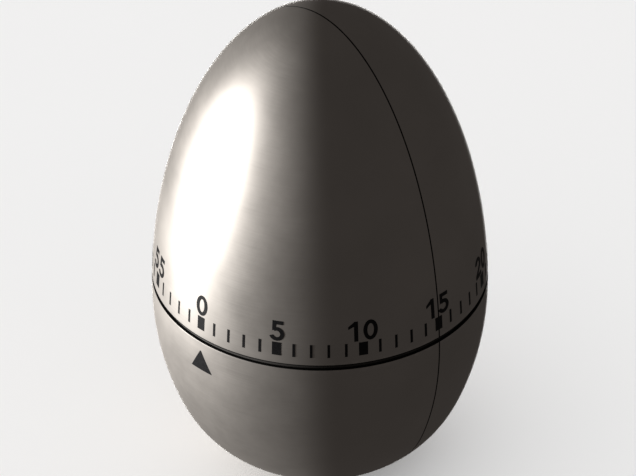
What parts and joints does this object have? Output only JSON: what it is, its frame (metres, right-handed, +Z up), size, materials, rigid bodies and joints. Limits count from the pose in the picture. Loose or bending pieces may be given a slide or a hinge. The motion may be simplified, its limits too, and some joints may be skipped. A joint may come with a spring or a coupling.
{
  "type": "kitchen timer",
  "caption": "Egg-shaped mechanical kitchen timer with a turning dial shell, a wind-up going train and a bell inside.",
  "frame": {"origin": "centre of the flat foot, on the surface the timer stands on", "axes": "+Z up along the egg's axis; the pointer and the 0 of the scale face -Y, and the 15 faces +X"},
  "size_m": [0.056, 0.056, 0.0853],
  "materials": {
    "shell_metal": "satin metal",
    "scale_black": "satin black ink",
    "seam_plastic": "satin grey plastic",
    "inner_plastic": "moulded black plastic",
    "foot_rubber": "matt foam rubber",
    "brass": "rolled and stamped brass",
    "steel": "turned steel",
    "spring_steel": "blued spring steel",
    "plate_steel": "zinc-plated sheet",
    "bell_steel": "nickel plated"
  },
  "bodies": {
    "base": {"lower_shell": "shell_metal", "pointer": "scale_black", "glide_ring": "seam_plastic", "foot_pad": "foot_rubber", "movement_cup": "inner_plastic", "stop_pin": "steel", "release_stud": "steel", "hammer_stud": "steel", "hammer_clip": "spring_steel", "gong": "bell_steel", "gong_screw": "steel", "bottom_plate": "plate_steel", "top_plate": "plate_steel", "pillars": "steel", "pillar_screws": "steel", "movement_screws": "steel"},
    "dial": {"upper_shell": "shell_metal", "numerals": "scale_black", "five_minute_marks": "scale_black", "minute_marks": "scale_black", "dial_hub": "inner_plastic", "main_arbor": "steel", "arbor_clip": "spring_steel", "stop_disc": "steel", "ratchet_wheel": "steel", "alarm_cam": "steel"},
    "great_wheel": {"great_wheel": "brass", "click_rivet": "brass", "click_spring": "spring_steel"},
    "click": {"click": "steel"},
    "barrel": {"spring_barrel": "brass", "barrel_cover": "brass", "mainspring": "spring_steel"},
    "second_wheel": {"second_arbor": "steel", "second_wheel": "brass"},
    "third_wheel": {"third_arbor": "steel", "third_wheel": "brass"},
    "escape_wheel": {"escape_arbor": "steel", "escape_wheel": "brass"},
    "pallet": {"pallet_arbor": "steel", "pallet_lever": "brass", "pallet_pins": "steel"},
    "strike_wheel": {"strike_arbor": "steel", "strike_wheel": "steel"},
    "release_lever": {"release_lever": "steel"},
    "hammer": {"hammer_arm": "steel", "hammer_head": "brass"}
  },
  "joints": [
    {"name": "dial_turn", "type": "hinge", "parent": "base", "child": "dial", "pos_m": [0, 0, 0.0335], "axis": [0, 0, -1], "range_deg": [0, 354], "deforming": ["mainspring"]},
    {"name": "great_wheel_turn", "type": "hinge", "parent": "base", "child": "great_wheel", "pos_m": [0, 0, 0.0192], "axis": [0, 0, -1], "continuous": true},
    {"name": "second_wheel_turn", "type": "hinge", "parent": "base", "child": "second_wheel", "pos_m": [0.0153, 0, 0.021], "axis": [0, 0, -1], "continuous": true},
    {"name": "third_wheel_turn", "type": "hinge", "parent": "base", "child": "third_wheel", "pos_m": [0.01229, 0.00912, 0.0228], "axis": [0, 0, -1], "continuous": true},
    {"name": "escape_wheel_turn", "type": "hinge", "parent": "base", "child": "escape_wheel", "pos_m": [0.00444, 0.01464, 0.0242], "axis": [0, 0, -1], "continuous": true},
    {"name": "pallet_rock", "type": "hinge", "parent": "base", "child": "pallet", "pos_m": [-0.00239, 0.01511, 0.0251], "axis": [0, 0, 1], "range_deg": [-5, 5]},
    {"name": "click_lift", "type": "hinge", "parent": "great_wheel", "child": "click", "pos_m": [0.00523, 0.00523, 0.01825], "axis": [0, 0, 1], "range_deg": [0, 10], "deforming": ["click_spring"]},
    {"name": "barrel_turn", "type": "hinge", "parent": "base", "child": "barrel", "pos_m": [0, 0, 0.0152], "axis": [0, 0, 1], "continuous": true},
    {"name": "strike_wheel_turn", "type": "hinge", "parent": "base", "child": "strike_wheel", "pos_m": [-0.01253, -0.00878, 0.0098], "axis": [0, 0, 1], "continuous": true},
    {"name": "release_lever_lift", "type": "hinge", "parent": "base", "child": "release_lever", "pos_m": [-0.00936, 0.00165, 0.0098], "axis": [0, 0, 1], "range_deg": [0, 3.5]},
    {"name": "hammer_swing", "type": "hinge", "parent": "base", "child": "hammer", "pos_m": [-0.00623, -0.00989, 0.0086], "axis": [0, 0, 1], "range_deg": [-1, 8]}
  ],
  "couplings": [
    {"joint": "great_wheel_turn", "follows": "dial_turn", "ratio": 1},
    {"joint": "second_wheel_turn", "follows": "dial_turn", "ratio": -7.5},
    {"joint": "third_wheel_turn", "follows": "dial_turn", "ratio": 52.5},
    {"joint": "escape_wheel_turn", "follows": "dial_turn", "ratio": -367.5},
    {"joint": "strike_wheel_turn", "follows": "barrel_turn", "ratio": -7.5}
  ]
}
